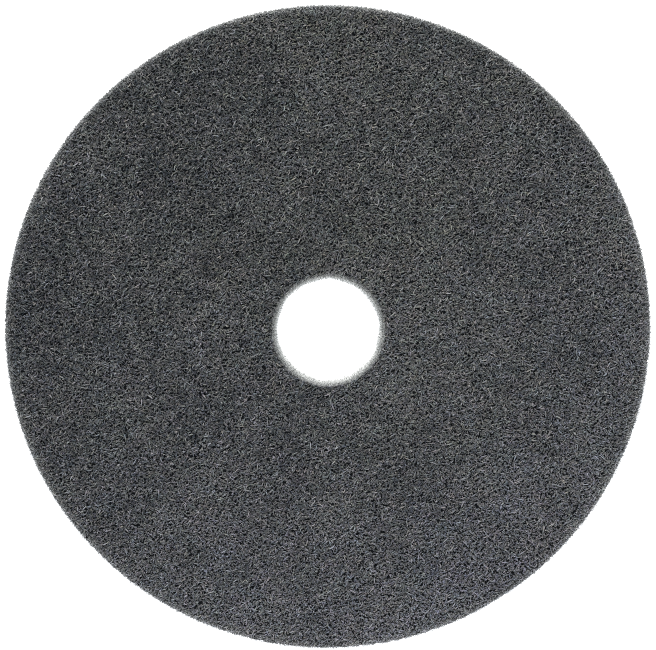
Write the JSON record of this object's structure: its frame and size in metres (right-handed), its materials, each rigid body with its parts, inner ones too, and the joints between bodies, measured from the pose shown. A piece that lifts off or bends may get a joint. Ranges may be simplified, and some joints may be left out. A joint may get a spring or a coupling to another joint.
{
  "type": "compact abrasive disc",
  "caption": "Flat round disc of compressed non-woven abrasive web with a plain central arbor bore, for deburring, blending and finishing metal.",
  "frame": {"origin": "centre of the bore on the back face, the face that the disc lies on", "axes": "+Z along the bore axis, from the back face to the front face; X and Y lie in the faces, and the disc is the same all round"},
  "size_m": [0.15, 0.15, 0.006],
  "materials": {
    "abrasive_web": "matt dark grey bonded fibre web with fine open pores and cut fibre ends"
  },
  "bodies": {
    "root": {"abrasive_disc": "abrasive_web"}
  },
  "joints": []
}
